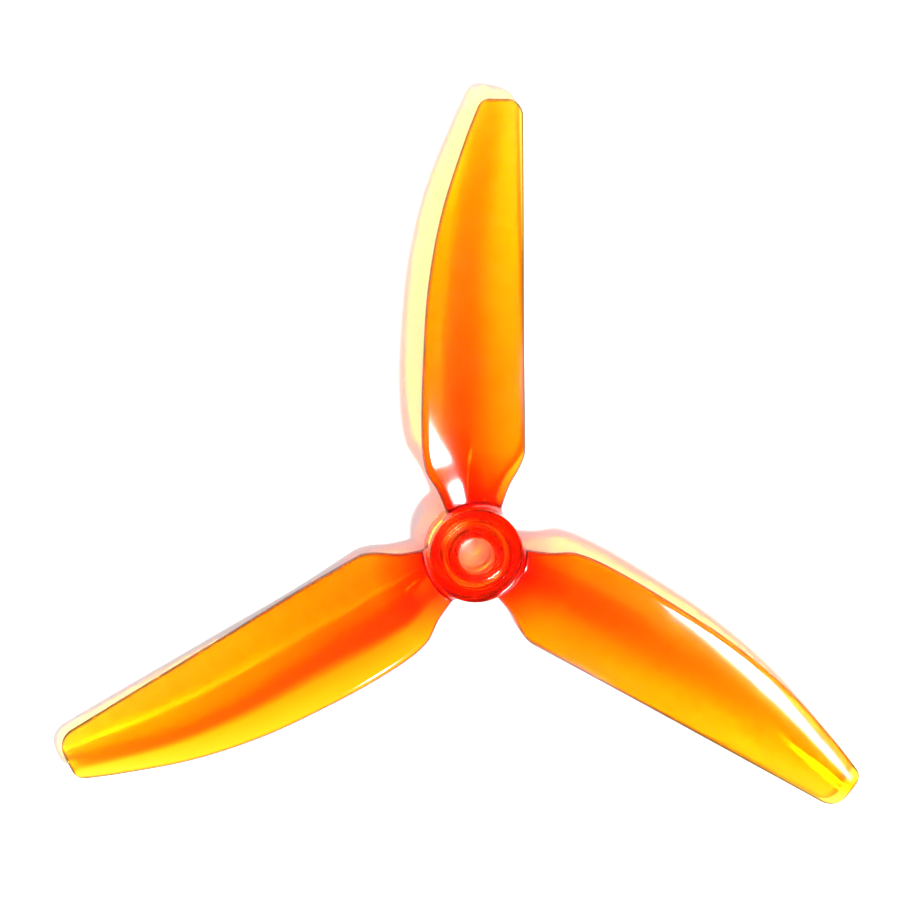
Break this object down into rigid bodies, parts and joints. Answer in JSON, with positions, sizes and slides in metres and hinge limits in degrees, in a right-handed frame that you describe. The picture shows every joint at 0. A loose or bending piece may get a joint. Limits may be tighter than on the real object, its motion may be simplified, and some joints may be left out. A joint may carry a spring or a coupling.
{
  "type": "drone propeller",
  "caption": "Small drone propeller in clear orange plastic: a bored round hub with twisted, swept-back blades whose trailing edges run straight. Turns anticlockwise seen from the nut side.",
  "frame": {"origin": "the balance point (centre of mass) on the spin axis, 4.69 mm above the face that rests on the motor", "axes": "+Z is the spin axis and points to the nut's side; +Y runs along blade_1; -X is the side that blade_1 leads with"},
  "size_m": [0.1115, 0.1006, 0.0084],
  "materials": {
    "hub_polycarbonate": "clear tinted orange, moulded gloss, looks red because it is thick",
    "blade_polycarbonate": "clear tinted orange, moulded gloss, paler towards the thin edges and the tip"
  },
  "bodies": {
    "root": {"hub": "hub_polycarbonate", "blade_1": "blade_polycarbonate", "blade_2": "blade_polycarbonate", "blade_3": "blade_polycarbonate"}
  },
  "joints": []
}
